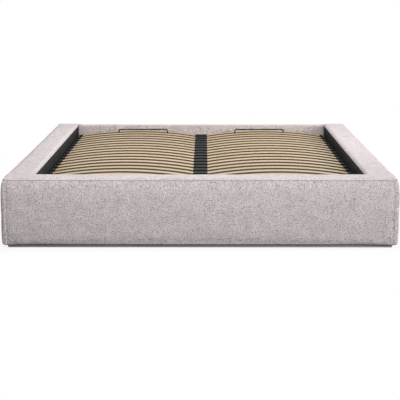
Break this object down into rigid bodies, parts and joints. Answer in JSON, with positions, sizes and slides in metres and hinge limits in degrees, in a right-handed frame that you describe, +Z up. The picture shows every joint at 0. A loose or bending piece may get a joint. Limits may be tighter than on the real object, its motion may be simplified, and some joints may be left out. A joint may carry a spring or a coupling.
{
  "type": "ottoman storage bed",
  "caption": "Upholstered ottoman bed base whose bowed-slat frame lifts at the foot end on arms and gas struts over a storage well.",
  "frame": {"origin": "centre of the footprint on the floor", "axes": "+Z up, +Y towards the head end, +X to the right seen from the foot end"},
  "size_m": [1.782, 2.196, 0.32],
  "materials": {
    "cover_fabric": "pale grey-pink chenille upholstery with a fine darker fleck",
    "carcass_timber": "plain sawn softwood and board",
    "black_lining": "black non-woven lining over thin board",
    "black_plinth": "black stained board",
    "floor_board": "dark faced board",
    "glide_plastic": "moulded black",
    "zinc_steel": "zinc plated",
    "black_steel": "black powder coat",
    "pad_rubber": "soft black rubber",
    "strut_paint": "satin black",
    "strut_rod_chrome": "polished",
    "slat_birch": "pale laminated birch, satin",
    "holder_plastic": "moulded black",
    "strap_webbing": "black woven webbing"
  },
  "bodies": {
    "base": {"base_pins": "zinc_steel", "base_plate_left": "black_steel", "base_plate_right": "black_steel", "bearer_foot": "black_plinth", "bearer_head": "black_plinth", "corner_brackets": "zinc_steel", "floor_board_foot": "floor_board", "floor_board_head": "floor_board", "floor_board_middle": "floor_board", "floor_glides": "glide_plastic", "foot_panel_carcass": "carcass_timber", "foot_panel_cover": "cover_fabric", "foot_panel_lining": "black_lining", "head_panel_board": "carcass_timber", "head_panel_cover": "cover_fabric", "panel_bolts": "zinc_steel", "plinth_foot": "black_plinth", "plinth_head": "black_plinth", "plinth_left": "black_plinth", "plinth_right": "black_plinth", "rail_carcass_left": "carcass_timber", "rail_carcass_right": "carcass_timber", "rail_cover_left": "cover_fabric", "rail_cover_right": "cover_fabric", "rail_lining_left": "black_lining", "rail_lining_right": "black_lining", "rest_brackets": "black_steel", "rest_pads": "pad_rubber"},
    "rear_arms": {"rear_arm_left": "black_steel", "rear_arm_right": "black_steel"},
    "front_arms": {"front_arm_left": "black_steel", "front_arm_right": "black_steel", "upper_strut_studs": "zinc_steel"},
    "strut_cylinders": {"strut_cylinder_left": "strut_paint", "strut_cylinder_right": "strut_paint"},
    "strut_rods": {"strut_rod_left": "strut_rod_chrome", "strut_rod_right": "strut_rod_chrome"},
    "lift_frame": {"frame_pins": "zinc_steel", "frame_bolts": "zinc_steel", "head_tube": "black_steel", "foot_tube": "black_steel", "centre_tube": "black_steel", "tube_end_plugs": "holder_plastic", "centre_caps": "holder_plastic", "pull_strap": "strap_webbing", "frame_plate_left": "black_steel", "frame_plate_right": "black_steel", "side_tube_left": "black_steel", "side_tube_right": "black_steel", "head_cross_tube_left": "black_steel", "head_cross_tube_right": "black_steel", "middle_cross_tube_left": "black_steel", "middle_cross_tube_right": "black_steel", "slats_left": "slat_birch", "slats_right": "slat_birch", "slat_holders_left": "holder_plastic", "slat_holders_right": "holder_plastic", "mattress_retainer_left": "black_steel", "mattress_retainer_right": "black_steel"}
  },
  "joints": [
    {"name": "lift", "type": "hinge", "parent": "base", "child": "rear_arms", "pos_m": [0, 0.6613, 0.1353], "axis": [1, 0, 0], "range_deg": [0, 43]},
    {"name": "frame_tilt", "type": "hinge", "parent": "rear_arms", "child": "lift_frame", "pos_m": [0, 0.7772, 0.1915], "axis": [1, 0, 0], "range_deg": [-72, 0]},
    {"name": "front_arm_swing", "type": "hinge", "parent": "base", "child": "front_arms", "pos_m": [0, 0.3785, 0.0515], "axis": [1, 0, 0], "range_deg": [0, 22.5]},
    {"name": "strut_cylinder_swing", "type": "hinge", "parent": "front_arms", "child": "strut_cylinders", "pos_m": [0, 0.555, 0.1525], "axis": [1, 0, 0], "range_deg": [-28.6, 0]},
    {"name": "strut_rod_swing", "type": "hinge", "parent": "base", "child": "strut_rods", "pos_m": [0, 0.85, 0.054], "axis": [1, 0, 0], "range_deg": [-6.2, 0]}
  ],
  "couplings": [
    {"joint": "frame_tilt", "follows": "lift", "ratio": -1.67},
    {"joint": "front_arm_swing", "follows": "lift", "ratio": 0.52},
    {"joint": "strut_cylinder_swing", "follows": "lift", "ratio": -0.66},
    {"joint": "strut_rod_swing", "follows": "lift", "ratio": -0.14}
  ]
}
